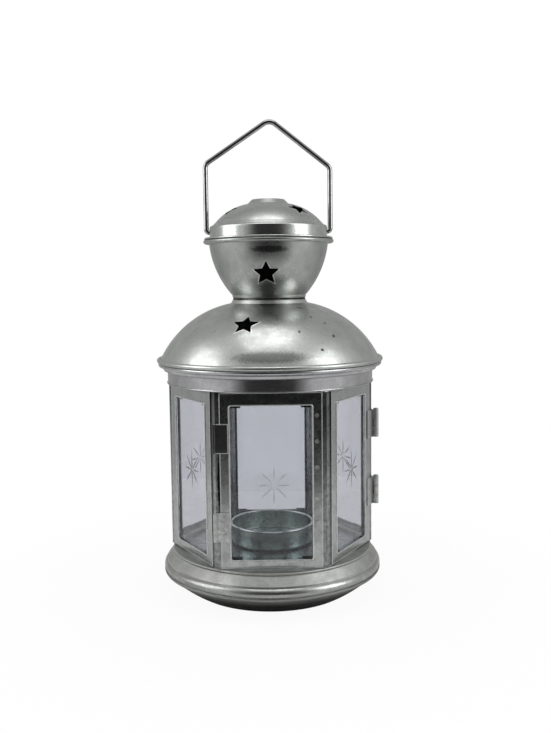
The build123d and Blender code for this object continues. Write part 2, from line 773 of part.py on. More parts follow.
# Lid: foot flange, band with the bail's holes, dome, raised disc
flange_z = lid_z + thin_sheet
band_top = (lid_radius, lid_z + lid_band_height)
shoulder = (lid_radius - lid_shoulder, band_top[1] + lid_shoulder)
lid_dome_foot = (lid_radius - lid_dome_inset, shoulder[1] + lid_dome_foot_rise)
disc_foot = (lid_disc_radius + lid_disc_slope, lid_dome_foot[1] + lid_dome_rise)
disc_edge = (lid_disc_radius, disc_foot[1] + lid_disc_rise)
lid_centre = arc_centre(disc_foot, lid_dome_foot, lid_dome_radius)
lid_star_radius = lid_radius * lid_star_share
star_out = lid_star_radius - lid_centre[0]
star_up = sqrt(lid_dome_radius**2 - star_out**2)
lid_stars = star_sketch(
    lid_star_azimuth,
    lid_star_radius,
    lid_centre[1] + star_up,
    star_out / lid_dome_radius,
    star_up / lid_dome_radius,
    lid_star_tip,
)
with BuildPart() as lid:
    with BuildSketch(Plane.XZ):
        with BuildLine(mode=Mode.PRIVATE) as wall:
            Polyline((lid_radius + lid_flange, flange_z), (lid_radius, flange_z), band_top)
            RadiusArc(band_top, shoulder, -lid_shoulder)
            Line(shoulder, lid_dome_foot)
            RadiusArc(lid_dome_foot, disc_foot, -lid_dome_radius)
            Polyline(disc_foot, disc_edge, (0, disc_edge[1]))
            offset(amount=thin_sheet, side=Side.LEFT, closed=True)
        with BuildLine():
            retrace(wall.edges())
        make_face()
        with Locations((lid_radius + lid_flange, lid_z + lid_hem)):
            Circle(lid_hem)
    revolve(axis=Axis.Z)
    with BuildSketch(Plane.YZ):
        with Locations((0, pivot_z)):
            Circle(wire + bail_hole_clearance)
    extrude(amount=lid_radius + lid_flange, both=True, mode=Mode.SUBTRACT)
    extrude(lid_stars, amount=-2 * punch_depth, mode=Mode.SUBTRACT)
write(lid, "lid")

# Bail: one bent wire whose ends turn in through the lid's band
with BuildPart() as bail:
    with BuildLine(Plane.XZ) as bail_path:
        FilletPolyline(
            (bail_stub - bail_leg, pivot_z),
            (-bail_leg, pivot_z),
            (-bail_leg, pivot_z + bail_left_shoulder),
            (bail_apex_shift, pivot_z + bail_apex),
            (bail_leg, pivot_z + bail_right_shoulder),
            (bail_leg, pivot_z),
            (bail_leg - bail_stub, pivot_z),
            radius=[
                bail_foot_bend,
                bail_shoulder_bend,
                bail_apex_bend,
                bail_shoulder_bend,
                bail_foot_bend,
            ],
        )
    with BuildSketch(Plane(origin=bail_path.line @ 0, z_dir=bail_path.line % 0)):
        Circle(wire)
    sweep(path=bail_path.line)
write(bail, "bail")
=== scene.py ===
import math

import bmesh
import bpy
from bpy.props import FloatProperty, FloatVectorProperty, PointerProperty
from mathutils import Matrix, Vector


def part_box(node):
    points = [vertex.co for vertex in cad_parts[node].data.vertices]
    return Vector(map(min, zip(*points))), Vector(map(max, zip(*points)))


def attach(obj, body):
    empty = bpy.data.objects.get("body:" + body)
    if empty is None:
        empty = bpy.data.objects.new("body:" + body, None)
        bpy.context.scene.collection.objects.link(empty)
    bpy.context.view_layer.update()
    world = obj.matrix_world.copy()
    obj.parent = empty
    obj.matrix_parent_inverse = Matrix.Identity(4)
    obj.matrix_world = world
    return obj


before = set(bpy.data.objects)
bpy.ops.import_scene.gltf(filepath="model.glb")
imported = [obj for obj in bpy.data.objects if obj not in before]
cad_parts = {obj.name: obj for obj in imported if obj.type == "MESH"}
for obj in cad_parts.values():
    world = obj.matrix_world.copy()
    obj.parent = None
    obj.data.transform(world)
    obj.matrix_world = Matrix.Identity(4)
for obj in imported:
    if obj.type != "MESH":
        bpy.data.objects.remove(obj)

bl_info = {
    "name": "Punched Tin Lantern",
    "version": (1, 0, 0),
    "blender": (4, 5, 0),
    "location": "View3D > Sidebar > Lantern",
    "description": "Finishes, trim, cut stars and stage for a six-sided tin lantern",
    "category": "Object",
}

# Which nodes take which finish
# Middle point of each dome, whose inner faces get soot and painted shade
DOME_MIDDLES = {"roof": 0.105, "chimney_bowl": 0.188, "lid": 0.178}
BAND_NODES = ("top_band", "eave_ring")
BASE_NODES = ("base_pan", "base_plinth")
POST_NODES = (
    "post_front_left", "post_left", "post_rear_left", "post_rear_right", "post_hinge", "door_post",
)
FRAME_NODES = (
    "frame_left_front", "frame_left_rear", "frame_rear", "frame_right_rear", "door_frame_side",
)
FITTING_NODES = (
    "upper_hinge_body_leaf", "lower_hinge_body_leaf", "upper_hinge_door_leaf",
    "lower_hinge_door_leaf", "upper_hinge_pin", "lower_hinge_pin", "door_clinches", "cup_rivet",
)
CLIP_NODES = ("upper_clip", "lower_clip", "clip_rivets")
PANE_NODES = (
    "pane_left_front", "pane_left_rear", "pane_rear", "pane_right_rear", "pane_door_front",
    "pane_door_side",
)

# Each window: azimuth, body, whether it is a wide one, and how far its star lies from the middle
# of the opening, to the side and up, or nothing for a plain pane
WINDOWS = {
    "door_frame_front": (-90, "door", True, (0.0012, -0.0012)),
    "door_frame_side": (-30, "door", False, (0.0012, 0.0012)),
    "frame_right_rear": (30, "lantern", False, (0.0, -0.0012)),
    "frame_rear": (90, "lantern", True, None),
    "frame_left_rear": (150, "lantern", False, (-0.0012, -0.0012)),
    "frame_left_front": (210, "lantern", False, (0.0, 0.0022)),
}

# Punched stars: azimuth of one, distance from the axis, height, the normal's outward and upward
# shares, tip radius
STARS = {
    "roof": (-106.4, 0.04193, 0.14361, 0.5976, 0.8018, 0.0068),
    "chimney_bowl": (-92.9, 0.02686, 0.16845, 0.9026, -0.4306, 0.00675),
    "lid": (-41.5, 0.02061, 0.20122, 0.5062, 0.8624, 0.0059),
}
STAR_INNER_SHARE = 0.49

# Marks on the sheet and painted light: middle, half sizes, tone and strength. The small dark spots
# on the roof are scratches and the light patches at the posts' tops are solder; all the others are
# painted light
MARKS_AND_PAINTED_LIGHT = {
    "roof": (
        # Painted dark reflections at the front of the roof's foot and of its top
        ((0.0, -0.0560, 0.1286), (0.0230, 0.0120, 0.0032), 0.05, 0.55),
        ((-0.0005, -0.0200, 0.1525), (0.0050, 0.0060, 0.0045), 0.04, 0.50),
        # Small dark scratches
        ((0.0252, -0.0474, 0.1314), (0.0011, 0.0011, 0.0009), 0.01, 0.9),
        ((0.0314, -0.0374, 0.1374), (0.0010, 0.0012, 0.0011), 0.02, 0.8),
        ((0.0143, -0.0440, 0.1400), (0.0007, 0.0010, 0.0014), 0.03, 0.8),
        ((0.0155, -0.0239, 0.1509), (0.0024, 0.0012, 0.0005), 0.03, 0.8),
        ((0.0205, -0.0316, 0.1465), (0.0007, 0.0008, 0.0007), 0.02, 0.8),
        ((0.0275, -0.0317, 0.1436), (0.0009, 0.0009, 0.0006), 0.02, 0.8),
    ),
    "chimney_bowl": (
        # Painted shadow and dark reflection under the rim, a painted dark reflection at the front
        # of the bowl's foot, and painted highlights to either side of it
        ((0.0003, -0.0318, 0.1803), (0.0115, 0.0070, 0.0021), 0.02, 0.80),
        ((-0.0006, -0.0215, 0.1606), (0.0050, 0.0070, 0.0050), 0.04, 0.60),
        ((0.0106, -0.0204, 0.1627), (0.0042, 0.0070, 0.0042), 0.90, 0.40),
        ((-0.0110, -0.0205, 0.1620), (0.0036, 0.0070, 0.0060), 0.90, 0.30),
    ),
    "posts": (
        # Painted shade in the slit between the front-left post and the door
        ((-0.0254, -0.0465, 0.0668), (0.0012, 0.0040, 0.0180), 0.01, 1.0),
        # Solder at the tops of the front posts
        ((-0.0265, -0.0470, 0.1035), (0.0030, 0.0050, 0.0090), 0.55, 0.6),
        ((0.0272, -0.0470, 0.1080), (0.0040, 0.0050, 0.0045), 0.75, 0.8),
    ),
    # Painted highlight round the cup's lip
    "cup": (((0.0, 0.0, 0.0351), (0.0800, 0.0800, 0.0009), 0.90, 0.7),),
    # Painted shade on the left of the plinth's slope, over the side lamp's reflection
    "base": (((-0.0330, -0.0400, 0.0185), (0.0200, 0.0140, 0.0070), 0.26, 0.7),),
}
# Colour of the painted shade that the shade setting mixes in by height
PAINTED_SHADE_TONE = (0.012, 0.012, 0.011, 1.0)

# Edge of a punched star: where the burr's painted highlight ends and fades out, how ragged it is,
# and where the painted shade on the hole's wall begins
BURR_HIGHLIGHT_TONE = (0.86, 0.87, 0.86, 1.0)
BURR_BAND = (0.0002, 0.0007)
BURR_RAGGED = 0.0005
HOLE_SHADE_EDGE = (-0.00004, 0.00006)

# Sizes in the sheet's pattern
GRAIN = 0.0007
LINE = 0.0012
RAGGED = 0.0011
SPECK_SPACING = 0.0031
SPECK_PATCH = 0.017
WAVE = 0.011
BUMP_HEIGHT = 0.0004
POLISH_FADE = 0.0002

# Heights of the lid's bright band, the plinth's bead, and the top of the painted shade on the pan's
# underside
LID_BAND = 0.0065
PLINTH_BEAD = 0.0052
PAN_SHADE_HEIGHT = 0.0060

# How the sheet's lines are stretched along each axis
TURNED = (0.12, 0.12, 3.0)
ROLLED = (3.0, 3.0, 0.15)
DRAWN = (3.0, 3.0, 0.3)
EVEN = (1.0, 1.0, 1.0)

# Soft lamps: place, size and the stage setting that holds the power
LAMP_AIM = (0.0, 0.0, 0.14)
LAMPS = {
    "overhead_lamp": ((0.0, -0.11, 0.70), (0.40, 0.26), "overhead"),
    "left_lamp": ((-0.60, -0.11, 0.40), (0.36, 0.50), "side"),
    "right_lamp": ((0.56, -0.25, 0.40), (0.34, 0.50), "side"),
}

# How bright the camera's side of the room is in the metal
CAMERA_SIDE = 0.04


def length(title, words, default):
    """A length that the user can change."""
    return FloatProperty(name=title, description=words, default=default, min=0.0, unit="LENGTH")


def share(title, words, default, top=1.0):
    """A number from nothing to top."""
    return FloatProperty(name=title, description=words, default=default, min=0.0, max=top)


def colour(title, words, default):
    """A colour that the user can change."""
    return FloatVectorProperty(
        name=title, description=words, default=default, size=3, min=0.0, max=1.0, subtype="COLOR"
    )


def finish_settings(title, words, bright, dull, smooth, rough, cloud, specks, lines, waviness):
    """A settings class for one sheet-metal finish."""
    fields = {
        "bright": colour("Bright", "Colour where the metal is clean", bright),
        "dull": colour("Dull", "Colour where the metal has gone cloudy", dull),
        # This colour also paints shade inside the domes and on the walls of the stars' holes
        "soil": colour("Soil", "Colour of specks and of dirt in the seams", (0.035, 0.036, 0.032)),
        "smooth": share("Smooth", "Roughness of the clean metal", smooth),
        "rough": share("Rough", "Roughness of the cloudy metal", rough),
        "cloud": length("Cloud size", "Size of the cloudy patches", cloud),
        "specks": share("Specks", "How many dark specks there are", specks),
        "lines": share("Lines", "Strength of the rolling or turning lines", lines),
        "waviness": share("Waviness", "How uneven the surface is", waviness),
    }
    return type(title, (bpy.types.PropertyGroup,), {"__doc__": words, "__annotations__": fields})


FINISHES = {
    "dome": finish_settings(
        "LanternDomeFinish", "Satin sheet of the roof, bowl and lid.",
        (0.61, 0.63, 0.61), (0.46, 0.48, 0.46), smooth=0.26, rough=0.36,
        cloud=0.007, specks=0.5, lines=0.25, waviness=0.25,
    ),
    "band": finish_settings(
        "LanternBandFinish", "Smoother sheet of the band and the moulded ring.",
        (0.56, 0.56, 0.57), (0.42, 0.42, 0.43), smooth=0.16, rough=0.26,
        cloud=0.006, specks=0.4, lines=0.5, waviness=0.2,
    ),
    "base": finish_settings(
        "LanternBaseFinish", "Worn sheet of the base.",
        (0.50, 0.51, 0.49), (0.38, 0.39, 0.37), smooth=0.44, rough=0.52,
        cloud=0.006, specks=0.7, lines=0.5, waviness=0.25,
    ),
    "cabin": finish_settings(
        "LanternCabinFinish", "Flat sheet of the window frames.",
        (0.53, 0.55, 0.54), (0.40, 0.42, 0.41), smooth=0.17, rough=0.32,
        cloud=0.005, specks=0.6, lines=0.4, waviness=0.3,
    ),
    # The posts' darker colour is painted shade of the recessed corners
    "post": finish_settings(
        "LanternPostFinish", "Rougher, darker sheet of the corner posts.",
        (0.46, 0.48, 0.47), (0.20, 0.21, 0.21), smooth=0.24, rough=0.40,
        cloud=0.0022, specks=1.0, lines=0.3, waviness=0.6,
    ),
    "fitting": finish_settings(
        "LanternFittingFinish", "Clips, hinges, rivets and pins.",
        (0.66, 0.67, 0.66), (0.44, 0.45, 0.44), smooth=0.26, rough=0.42,
        cloud=0.0022, specks=0.5, lines=0.3, waviness=0.4,
    ),
    "cup": finish_settings(
        "LanternCupFinish", "Darker, shinier sheet of the cup.",
        (0.52, 0.60, 0.56), (0.35, 0.41, 0.38), smooth=0.20, rough=0.30,
        cloud=0.008, specks=0.2, lines=0.5, waviness=0.1,
    ),
    "floor": finish_settings(
        "LanternFloorFinish", "Sheet of the floor plate.",
        (0.27, 0.31, 0.30), (0.19, 0.22, 0.21), smooth=0.22, rough=0.32,
        cloud=0.009, specks=0.4, lines=0.1, waviness=0.3,
    ),
    # The edges' bright colour is a painted highlight along the frames' and clips' edges
    "edge": finish_settings(
        "LanternEdgeFinish", "Bright worn edges of the frames and clips.",
        (0.80, 0.81, 0.80), (0.60, 0.61, 0.60), smooth=0.30, rough=0.42,
        cloud=0.003, specks=0.5, lines=0.2, waviness=0.2,
    ),
    "wire": finish_settings(
        "LanternWireFinish", "Bright drawn wire of the bail.",
        (0.50, 0.50, 0.50), (0.36, 0.36, 0.36), smooth=0.10, rough=0.20,
        cloud=0.004, specks=0.2, lines=0.3, waviness=0.1,
    ),
}


class LanternGlassSettings(bpy.types.PropertyGroup):
    """Window glass and the stars cut in it."""

    tint: colour("Glass tint", "Colour of light that one face lets through", (0.68, 0.69, 0.725))
    # Painted light: the same frosted cut is light on the front pane and dark on the other panes,
    # for how light falls through them
    front_cut_lit: colour("Front cut", "Colour of the front pane's frosted cuts", (0.62, 0.64, 0.66))
    side_cut_shaded: colour("Side cut", "Colour of the other panes' frosted cuts", (0.10, 0.13, 0.15))
    cut_cover: share("Cut cover", "How much of the light a frosted cut stops", 0.75)
    upright_ray: length("Upright ray", "Length of the rays that stand up", 0.0099)
    level_ray: length("Level ray", "Length of the rays that lie level", 0.0086)
    slanting_ray: length("Slanting ray", "Length of the rays between them", 0.0096)
    hub: length("Hub", "Where the rays start, from the middle", 0.0004)
    ray_width: length("Ray width", "Width of a ray at its widest", 0.00075)
    cut_depth: length("Cut depth", "Depth of a ray's V-shaped cut", 0.00018)


class LanternWindowSettings(bpy.types.PropertyGroup):
    """Window openings and their rolled edges."""

    wide_half: length("Wide half", "Half the width of a wide opening", 0.0203)
    side_half: length("Side half", "Half the width of a slanting side's opening", 0.0176)
    low: length("Low edge", "Height of the openings' lower edge", 0.0280)
    high: length("High edge", "Height of the openings' upper edge", 0.1050)
    corner: length("Corner", "Radius of the openings' corners", 0.0013)
    edge: length("Edge", "Radius of the rolled edge round an opening", 0.0004)
    wide_frame: length("Wide frame", "Half the width of a wide frame", 0.0248)
    side_frame: length("Side frame", "Half the width of a slanting side's frame", 0.0229)
    burr: length("Burr", "Radius of the burred edge round a frame", 0.00022)
    clip_inner: length("Clip on the frame", "How far a clip reaches onto the frame", 0.0039)
    clip_outer: length("Clip past the frame", "How far a clip reaches past the frame", 0.0029)
    clip_sheet: length("Clip sheet", "Thickness of a clip", 0.0005)


class LanternStageSettings(bpy.types.PropertyGroup):
    """Camera, lamps and floor."""

    lens: FloatProperty(name="Lens", description="Focal length in millimetres", default=42.37)
    distance: length("Distance", "Camera in front of the lantern's axis", 0.45966)
    height: length("Height", "Camera above the table", 0.16494)
    yaw: FloatProperty(
        name="Yaw", description="Turn to the right", default=math.radians(0.366), subtype="ANGLE"
    )
    pitch: FloatProperty(
        name="Pitch", description="Tilt down", default=math.radians(5.714), subtype="ANGLE"
    )
    roll: FloatProperty(
        name="Roll", description="Lean of the view", default=math.radians(-0.672), subtype="ANGLE"
    )
    floor_radius: length("Floor radius", "Radius of the pale table", 0.30)
    floor: colour("Floor", "Colour of the pale table", (0.80, 0.80, 0.80))
    floor_lift: share("Floor lift", "How far the camera sees the table lifted to white", 0.94)
    surround: share("Surround", "Light of the room on matt surfaces", 0.55, 2.0)
    back: share("Back of the room", "How bright the room behind is in the metal", 0.42)
    sides: share("Sides of the room", "How bright the room's sides are in the metal", 0.68)
    overhead: share("Overhead", "Power of the soft lamp above, in watts", 0.50, 20.0)
    side: share("Side", "Power of each soft lamp at the side, in watts", 1.25, 20.0)


class Recipe:
    """Adds nodes to one tree and joins them."""

    def __init__(self, tree):
        self.tree = tree
        tree.nodes.clear()

    def put(self, kind, sockets=None, **settings):
        """Adds a node, sets its settings and fills its sockets with values or links."""
        node = self.tree.nodes.new(kind)
        for key, value in settings.items():
            setattr(node, key, value)
        for key, value in (sockets or {}).items():
            if isinstance(value, bpy.types.NodeSocket):
                self.tree.links.new(value, node.inputs[key])
            else:
                node.inputs[key].default_value = value
        return node

    def math(self, operation, first, second=0.0):
        """One sum."""
        return self.put("ShaderNodeMath", {0: first, 1: second}, operation=operation).outputs[0]

    def plus(self, first, second):
        """The sum of two numbers."""
        return self.math("ADD", first, second)

    def minus(self, first, second):
        """The difference of two numbers."""
        return self.math("SUBTRACT", first, second)

    def times(self, first, second):
        """The product of two numbers."""
        return self.math("MULTIPLY", first, second)

    def larger(self, first, second):
        """The larger of two numbers."""
        return self.math("MAXIMUM", first, second)

    def wrapped(self, angle, half):
        """The same angle, brought between minus half and half by whole steps."""
        sockets = {0: angle, 1: half, 2: -half}
        return self.put("ShaderNodeMath", sockets, operation="WRAP").outputs[0]

    def vector(self, operation, first, second=(0.0, 0.0, 0.0), output="Vector"):
        """One sum with vectors."""
        node = self.put("ShaderNodeVectorMath", {0: first, 1: second}, operation=operation)
        return node.outputs[output]

    def norm(self, vector):
        """How long a vector is."""
        return self.vector("LENGTH", vector, output="Value")

    def parts(self, vector):
        """A vector's X, Y and Z."""
        return self.put("ShaderNodeSeparateXYZ", {0: vector}).outputs

    def point(self, **parts):
        """A vector from its X, Y and Z, which are nothing where not given."""
        return self.put("ShaderNodeCombineXYZ", parts).outputs[0]

    def span(self, value, low, high, to_low=0.0, to_high=1.0):
        """Stretches a value from one range to another and stops at its ends."""
        sockets = {0: value, 1: low, 2: high, 3: to_low, 4: to_high}
        return self.put("ShaderNodeMapRange", sockets).outputs[0]

    def blend(self, factor, first, second):
        """A mix of two numbers."""
        sockets = {0: factor, 2: first, 3: second}
        return self.put("ShaderNodeMix", sockets, data_type="FLOAT").outputs[0]

    def noise(self, place, size, detail=2.0, roughness=0.5):
        """Soft noise whose patches are about one size across, in metres."""
        sockets = {"Vector": place, "Scale": 1 / size, "Detail": detail, "Roughness": roughness}
        return self.put("ShaderNodeTexNoise", sockets).outputs[0]

    def stretched(self, place, scale):
        """The same coordinates, stretched along each axis."""
        return self.put("ShaderNodeMapping", {"Vector": place, "Scale": scale}).outputs[0]

    def mix(self, factor, first, second):
        """A mix of two colours."""
        sockets = {0: factor, 6: first, 7: second}
        return self.put("ShaderNodeMix", sockets, data_type="RGBA").outputs[2]


def rgba(value):
    """A colour property with its alpha."""
    return (value[0], value[1], value[2], 1.0)


def dimmed(value, left):
    """A colour property at a share of its brightness, with its alpha."""
    return rgba([left * part for part in value])


def star_edge(recipe, place, star):
    """How far a point lies outside the outline of the nearest of three punched stars."""
    azimuth, radius, height, out_share, up_share, tip = star
    x, y, z = recipe.parts(place)
    turn = recipe.minus(recipe.math("ARCTAN2", y, x), math.radians(azimuth))
    turn = recipe.wrapped(turn, math.radians(60))
    reach = recipe.norm(recipe.point(X=x, Y=y))
    along = recipe.times(turn, reach)
    inward = recipe.times(recipe.minus(radius, reach), up_share)
    rise = recipe.times(recipe.minus(z, height), out_share)
    up = recipe.plus(inward, rise)

    far = recipe.norm(recipe.point(X=along, Y=up))
    ray = math.radians(36)
    spoke = recipe.math("ABSOLUTE", recipe.wrapped(recipe.math("ARCTAN2", along, up), ray))
    inner = Vector((math.cos(ray), math.sin(ray))) * tip * STAR_INNER_SHARE
    side = Vector((inner.y, tip - inner.x)).normalized()
    ahead = recipe.times(far, recipe.math("COSINE", spoke))
    across = recipe.times(far, recipe.math("SINE", spoke))
    return recipe.plus(recipe.times(recipe.minus(ahead, tip), side.x), recipe.times(across, side.y))


def sheet_soil_and_shade(recipe, place, cloud, specks, seams, middle):
    """Where the sheet is dark: specks, dirt in the seams, soot on what faces the middle point."""
    cells = recipe.put(
        "ShaderNodeTexVoronoi", {"Vector": place, "Scale": 1 / SPECK_SPACING, "Randomness": 1.0}
    ).outputs["Distance"]
    patches = recipe.noise(place, SPECK_PATCH, 2.0, 0.5)
    spread = specks * 0.12
    soil = recipe.times(
        recipe.span(cells, 0.05, 0.12, 1.0, 0.0),
        recipe.span(patches, 0.62 - spread, 0.68 - spread),
    )
    for level, half_width, strength in seams:
        away = recipe.math("ABSOLUTE", recipe.minus(recipe.parts(place)[2], level))
        near = recipe.span(away, 0.0, half_width, strength, 0.0)
        soil = recipe.larger(soil, recipe.times(near, recipe.span(cloud, 0.3, 0.6, 0.4, 1.0)))
    # Soot and painted shade on the faces turned towards the middle point, inside the domes
    if middle:
        spoke = recipe.vector("NORMALIZE", recipe.vector("SUBTRACT", place, middle))
        normal = recipe.put("ShaderNodeTexCoord").outputs["Normal"]
        turned_out = recipe.vector("DOT_PRODUCT", spoke, normal, "Value")
        soil = recipe.larger(soil, recipe.span(turned_out, -0.5, -0.3, 1.0, 0.0))
    return soil


def sheet_material(
    name, finish, stretch, seams=(), middle=None, star=None, shade=None, polish=(), marks_and_painted_light=()
):
    """Sheet metal: cloudy patches, fine grain, dark specks, rolling lines, and burred stars.
    Each seam is (height, half width, strength). What faces the middle point is sooty.
    The shade is (dark height, light height, how dark). Each polish is (low, high, what is left of
    the roughness). Each mark is as in MARKS."""
    material = bpy.data.materials.new(name)
    material.use_nodes = True
    recipe = Recipe(material.node_tree)
    place = recipe.put("ShaderNodeTexCoord").outputs["Object"]
    height = recipe.parts(place)[2]
    cloud = recipe.noise(place, finish.cloud, 4.0, 0.6)
    grain = recipe.noise(place, GRAIN, 3.0, 0.7)
    lines = recipe.noise(recipe.stretched(place, stretch), LINE, 3.0, 0.6)
    tone = recipe.plus(recipe.times(cloud, 0.62), recipe.times(grain, 0.38))
    streaks = recipe.times(recipe.minus(lines, 0.5), finish.lines * 0.5)
    clean = recipe.span(recipe.plus(tone, streaks), 0.38, 0.62)

    base = recipe.mix(clean, rgba(finish.dull), rgba(finish.bright))
    wobble = recipe.times(recipe.minus(grain, 0.5), 1.2)
    # Scratches and solder, and painted reflections, highlights and shade
    for middle_point, size, grey, strength in marks_and_painted_light:
        off = recipe.vector("DIVIDE", recipe.vector("SUBTRACT", place, middle_point), size)
        near = recipe.span(recipe.plus(recipe.norm(off), wobble), 0.6, 1.0, strength, 0.0)
        base = recipe.mix(near, base, (grey, grey, grey, 1.0))
    if shade:
        dark, light, depth = shade
        base = recipe.mix(recipe.span(height, dark, light, depth, 0.0), base, PAINTED_SHADE_TONE)

    roughness = recipe.span(clean, 0.0, 1.0, finish.rough, finish.smooth)
    for low, high, left in polish:
        above = recipe.span(height, low - POLISH_FADE, low)
        below = recipe.span(height, high, high + POLISH_FADE, 1.0, 0.0)
        inside = recipe.times(above, below)
        roughness = recipe.times(roughness, recipe.span(inside, 0.0, 1.0, 1.0, left))

    soil = sheet_soil_and_shade(recipe, place, cloud, finish.specks, seams, middle)
    relief = recipe.plus(recipe.noise(place, WAVE, 2.0, 0.5), recipe.times(grain, 0.10))
    if star:
        away = star_edge(recipe, place, star)
        ragged = recipe.minus(recipe.noise(place, RAGGED, 2.0, 0.6), 0.5)
        ragged = recipe.plus(away, recipe.times(ragged, BURR_RAGGED))
        burr = recipe.span(ragged, *BURR_BAND, 1.0, 0.0)
        # Painted highlight on the star's burr
        base = recipe.mix(recipe.times(burr, 0.85), base, BURR_HIGHLIGHT_TONE)
        # Painted shade on the wall of the star's hole
        soil = recipe.larger(soil, recipe.span(away, *HOLE_SHADE_EDGE, 1.0, 0.0))
        relief = recipe.plus(relief, recipe.times(burr, 0.7))
    base = recipe.mix(soil, base, rgba(finish.soil))
    roughness = recipe.plus(roughness, recipe.times(soil, 0.25))

    relief = recipe.plus(relief, recipe.times(lines, finish.lines * 0.10))
    relief = recipe.minus(relief, recipe.times(soil, 0.15))
    bump = recipe.put(
        "ShaderNodeBump", {"Strength": finish.waviness, "Distance": BUMP_HEIGHT, "Height": relief}
    ).outputs[0]
    shader = recipe.put(
        "ShaderNodeBsdfPrincipled",
        {"Base Color": base, "Metallic": 1.0, "Roughness": roughness, "Normal": bump},
    )
    recipe.put("ShaderNodeOutputMaterial", {"Surface": shader.outputs[0]})
    return material


def glass_material(settings):
    """Window glass that lets lamp light through, with faint smears."""
    material = bpy.data.materials.new("window_glass")
    material.use_nodes = True
    recipe = Recipe(material.node_tree)
    place = recipe.put("ShaderNodeTexCoord").outputs["Object"]
    smear = recipe.noise(recipe.stretched(place, (1.0, 1.0, 0.4)), 0.012, 4.0, 0.6)
    tint = rgba(settings.tint)
    dusty = dimmed(settings.tint, 0.965)
    shader = recipe.put(
        "ShaderNodeBsdfPrincipled",
        {
            "Base Color": recipe.mix(recipe.span(smear, 0.4, 0.7), tint, dusty),
            "Metallic": 0.0,
            "Roughness": recipe.span(smear, 0.45, 0.75, 0.0, 0.02),
            "IOR": 1.45,
            "Transmission Weight": 1.0,
        },
    )
    clear = recipe.put("ShaderNodeBsdfTransparent", {"Color": (0.93, 0.94, 0.95, 1.0)})
    path = recipe.put("ShaderNodeLightPath")
    mixed = recipe.put(
        "ShaderNodeMixShader",
        {
            0: recipe.larger(path.outputs["Is Shadow Ray"], path.outputs["Is Diffuse Ray"]),
            1: shader.outputs[0],
            2: clear.outputs[0],
        },
    )
    recipe.put("ShaderNodeOutputMaterial", {"Surface": mixed.outputs[0]})
    return material


def cut_material(name, tone, cover):
    """Frosted facets of a star cut in glass, which stop part of the light."""
    material = bpy.data.materials.new(name)
    material.use_nodes = True
    recipe = Recipe(material.node_tree)
    place = recipe.put("ShaderNodeTexCoord").outputs["Object"]
    grind = recipe.noise(place, 0.0004, 2.0, 0.6)
    shader = recipe.put(
        "ShaderNodeBsdfPrincipled",
        {
            "Base Color": recipe.mix(recipe.span(grind, 0.35, 0.65), dimmed(tone, 0.6), rgba(tone)),
            "Roughness": recipe.span(grind, 0.3, 0.7, 0.35, 0.6),
            "Alpha": cover,
        },
    )
    recipe.put("ShaderNodeOutputMaterial", {"Surface": shader.outputs[0]})
    return material


def face_matrix(azimuth, distance):
    """Local X runs counter-clockwise along a face, local Y up, local Z outward."""
    turn = math.radians(azimuth)
    along = Vector((-math.sin(turn), math.cos(turn), 0.0))
    out = Vector((math.cos(turn), math.sin(turn), 0.0))
    matrix = Matrix((along, (0.0, 0.0, 1.0), out)).transposed().to_4x4()
    matrix.translation = out * distance
    return matrix


def new_tree(name, sizes):
    """A Geometry Nodes tree that takes named sizes and a material, and its inputs."""
    tree = bpy.data.node_groups.new(name, "GeometryNodeTree")
    for title in sizes:
        tree.interface.new_socket(title, in_out="INPUT", socket_type="NodeSocketFloat")
    tree.interface.new_socket("Material", in_out="INPUT", socket_type="NodeSocketMaterial")
    tree.interface.new_socket("Geometry", in_out="OUTPUT", socket_type="NodeSocketGeometry")
    recipe = Recipe(tree)
    return tree, recipe, recipe.put("NodeGroupInput").outputs


def close_tree(recipe, given, geometry):
    """Ends a tree in Realize Instances and Set Material."""
    plain = recipe.put("GeometryNodeRealizeInstances", {"Geometry": geometry}).outputs[0]
    dressed = recipe.put(
        "GeometryNodeSetMaterial", {"Geometry": plain, "Material": given["Material"]}
    ).outputs[0]
    recipe.put("NodeGroupOutput", {"Geometry": dressed})


def grown(tree, values, matrix):
    """Runs a tree and returns its result as a plain mesh, set in its place."""
    holder = bpy.data.objects.new("holder", bpy.data.meshes.new("holder"))
    bpy.context.scene.collection.objects.link(holder)
    modifier = holder.modifiers.new("grow", "NODES")
    modifier.node_group = tree
    for item in tree.interface.items_tree:
        if item.in_out == "INPUT":
            modifier[item.identifier] = values[item.name]
    graph = bpy.context.evaluated_depsgraph_get()
    mesh = bpy.data.meshes.new_from_object(holder.evaluated_get(graph))
    holder.modifiers.clear()
    empty = holder.data
    bpy.data.objects.remove(holder)
    bpy.data.meshes.remove(empty)
    mesh.transform(matrix)
    return mesh


def joined(name, meshes, material, body, smooth=True):
    """Joins plain meshes into one piece that rides on a body."""
    shape = bmesh.new()
    for mesh in meshes:
        shape.from_mesh(mesh)
        bpy.data.meshes.remove(mesh)
    for face in shape.faces:
        face.material_index = 0
        face.smooth = smooth
    data = bpy.data.meshes.new(name)
    shape.to_mesh(data)
    shape.free()
    data.materials.clear()
    data.materials.append(material)
    piece = bpy.data.objects.new(name, data)
    bpy.context.scene.collection.objects.link(piece)
    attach(piece, body)


def dress(nodes, material):
    """Gives CAD nodes one material in all their slots."""
    for name in nodes:
        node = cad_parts[name]
        if not node.material_slots:
            node.data.materials.append(material)
        for slot in node.material_slots:
            slot.material = material


